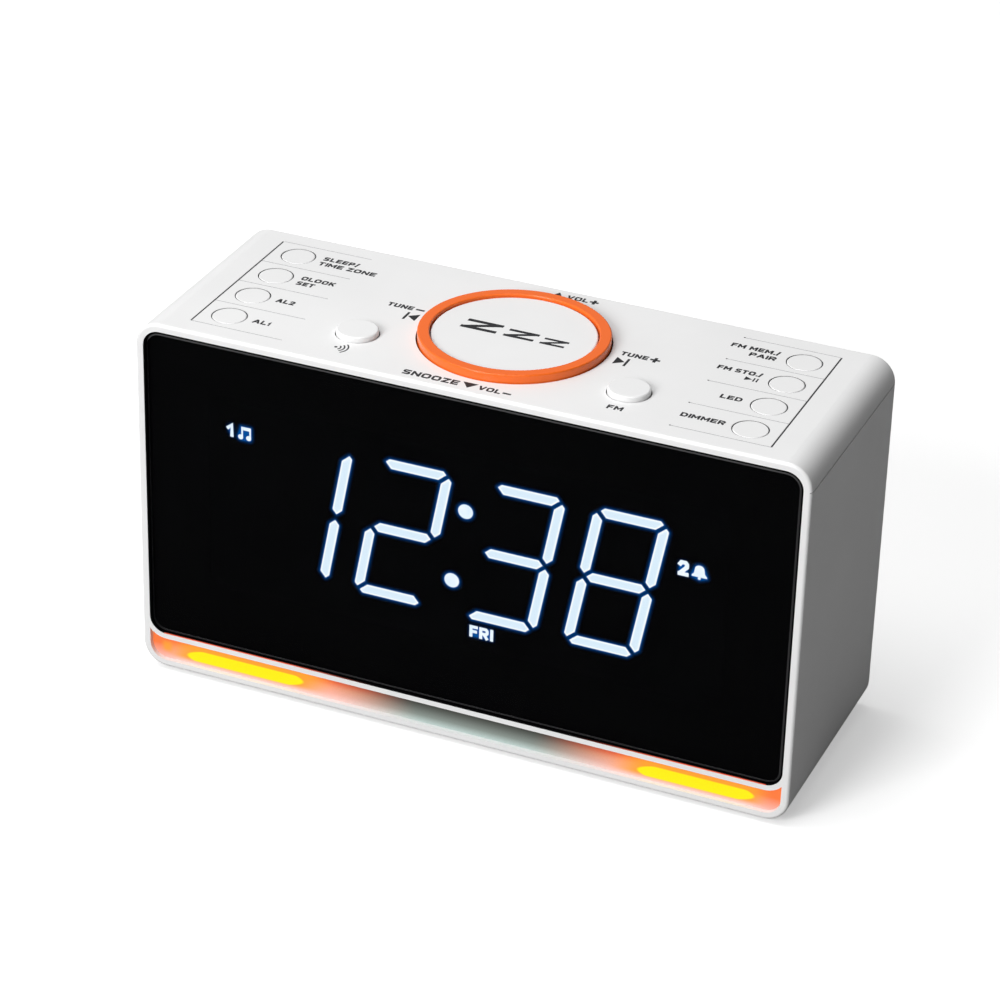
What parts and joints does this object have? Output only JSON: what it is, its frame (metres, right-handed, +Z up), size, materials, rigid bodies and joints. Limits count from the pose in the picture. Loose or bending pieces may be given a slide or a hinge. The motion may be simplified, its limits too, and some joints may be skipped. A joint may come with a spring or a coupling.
{
  "type": "clock radio",
  "caption": "Bedside clock radio: white box casing, dark display window over a light strip, flush keys, tilting ring and snooze key on top.",
  "frame": {"origin": "middle of the footprint, on the surface the feet stand on", "axes": "+X to the right seen from the front, +Y from the front to the back, +Z up"},
  "size_m": [0.16, 0.0568, 0.0922],
  "materials": {
    "white_plastic": "satin moulded ABS",
    "orange_plastic": "satin moulded, bright orange",
    "dark_window": "smoked clear acrylic",
    "milky_window": "diffusing acrylic",
    "led_lit": "cast resin, lit bluish white",
    "led_unlit": "cast resin, unlit",
    "strip_lamps": "lamp package, lit amber",
    "black_plastic": "moulded",
    "natural_plastic": "moulded, undyed",
    "soft_rubber": "matt",
    "foam": "closed-cell foam",
    "circuit_board": "green solder mask",
    "plated_steel": "zinc or nickel plate",
    "black_steel": "black lacquer",
    "ferrite": "bare ferrite",
    "paper": "dyed pulp",
    "dust_cap": "satin film",
    "coil_former": "film former with copper wire",
    "capacitor_sleeve": "shrink sleeve",
    "cell_jacket": "plain printed jacket",
    "cable_jacket": "PVC insulation"
  },
  "bodies": {
    "casing": {"lower_housing": "white_plastic", "top_cover": "white_plastic", "rear_cover": "white_plastic", "rubber_feet": "soft_rubber", "display_lens": "dark_window", "light_strip": "milky_window", "light_strip_board": "circuit_board", "light_strip_leds": "strip_lamps", "display_reflector": "black_plastic", "lit_segments": "led_lit", "unlit_segments": "led_unlit", "colon_dots": "led_lit", "icon_windows": "led_lit", "display_board": "circuit_board", "ring_base": "natural_plastic", "key_switches": "black_plastic", "key_board": "circuit_board", "rear_screws": "plated_steel", "board_screws": "plated_steel", "power_socket": "black_plastic", "power_pin": "plated_steel", "usb_socket": "plated_steel", "usb_tongue": "black_plastic", "audio_socket": "black_plastic", "antenna_grommet": "soft_rubber", "main_board": "circuit_board", "board_chips": "black_plastic", "board_capacitors": "capacitor_sleeve", "clock_crystal": "plated_steel", "wireless_module": "plated_steel", "speaker_gasket": "foam", "speaker_basket": "black_steel", "speaker_magnet": "ferrite", "speaker_yoke": "plated_steel", "speaker_surround": "soft_rubber", "speaker_spider": "paper", "battery_tray": "natural_plastic", "battery_cells": "cell_jacket", "battery_contacts": "plated_steel", "key_cable": "cable_jacket", "display_cable": "cable_jacket", "speaker_wires": "cable_jacket"},
    "alarm_1_key": {"alarm_1_key": "white_plastic"},
    "alarm_2_key": {"alarm_2_key": "white_plastic"},
    "clock_set_key": {"clock_set_key": "white_plastic"},
    "sleep_key": {"sleep_key": "white_plastic"},
    "dimmer_key": {"dimmer_key": "white_plastic"},
    "light_key": {"light_key": "white_plastic"},
    "play_pause_key": {"play_pause_key": "white_plastic"},
    "memory_key": {"memory_key": "white_plastic"},
    "wireless_key": {"wireless_key": "white_plastic"},
    "fm_key": {"fm_key": "white_plastic"},
    "snooze_key": {"snooze_key": "white_plastic"},
    "ring_gimbal": {"ring_gimbal": "natural_plastic"},
    "tuning_ring": {"tuning_ring": "orange_plastic"},
    "battery_door": {"battery_door": "white_plastic"},
    "speaker_cone": {"voice_coil": "coil_former", "speaker_cone": "paper", "speaker_dust_cap": "dust_cap"}
  },
  "joints": [
    {"name": "alarm_1_press", "type": "slide", "parent": "casing", "child": "alarm_1_key", "axis": [0, 0, -1], "range_m": [0, 0.0005], "stiffness_N_per_m": 600},
    {"name": "alarm_2_press", "type": "slide", "parent": "casing", "child": "alarm_2_key", "axis": [0, 0, -1], "range_m": [0, 0.0005], "stiffness_N_per_m": 600},
    {"name": "clock_set_press", "type": "slide", "parent": "casing", "child": "clock_set_key", "axis": [0, 0, -1], "range_m": [0, 0.0005], "stiffness_N_per_m": 600},
    {"name": "sleep_press", "type": "slide", "parent": "casing", "child": "sleep_key", "axis": [0, 0, -1], "range_m": [0, 0.0005], "stiffness_N_per_m": 600},
    {"name": "dimmer_press", "type": "slide", "parent": "casing", "child": "dimmer_key", "axis": [0, 0, -1], "range_m": [0, 0.0005], "stiffness_N_per_m": 600},
    {"name": "light_press", "type": "slide", "parent": "casing", "child": "light_key", "axis": [0, 0, -1], "range_m": [0, 0.0005], "stiffness_N_per_m": 600},
    {"name": "play_pause_press", "type": "slide", "parent": "casing", "child": "play_pause_key", "axis": [0, 0, -1], "range_m": [0, 0.0005], "stiffness_N_per_m": 600},
    {"name": "memory_press", "type": "slide", "parent": "casing", "child": "memory_key", "axis": [0, 0, -1], "range_m": [0, 0.0005], "stiffness_N_per_m": 600},
    {"name": "wireless_press", "type": "slide", "parent": "casing", "child": "wireless_key", "axis": [0, 0, -1], "range_m": [0, 0.0006], "stiffness_N_per_m": 600},
    {"name": "fm_press", "type": "slide", "parent": "casing", "child": "fm_key", "axis": [0, 0, -1], "range_m": [0, 0.0006], "stiffness_N_per_m": 600},
    {"name": "snooze_press", "type": "slide", "parent": "casing", "child": "snooze_key", "axis": [0, 0, -1], "range_m": [0, 0.0007], "stiffness_N_per_m": 900},
    {"name": "volume_tilt", "type": "hinge", "parent": "casing", "child": "ring_gimbal", "pos_m": [0, 0, 0.0862], "axis": [1, 0, 0], "range_deg": [-1.8, 1.8], "stiffness_Nm_per_rad": 0.5},
    {"name": "tuning_tilt", "type": "hinge", "parent": "ring_gimbal", "child": "tuning_ring", "pos_m": [0, 0, 0.0862], "axis": [0, 1, 0], "range_deg": [-1.8, 1.8], "stiffness_Nm_per_rad": 0.5},
    {"name": "battery_door_swing", "type": "hinge", "parent": "casing", "child": "battery_door", "pos_m": [-0.041, 0.027, 0.0495], "axis": [-1, 0, 0], "range_deg": [0, 90]},
    {"name": "cone_travel", "type": "slide", "parent": "casing", "child": "speaker_cone", "axis": [0, 1, 0], "range_m": [-0.0008, 0.0008], "stiffness_N_per_m": 1200, "deforming": ["speaker_surround", "speaker_spider"]}
  ]
}
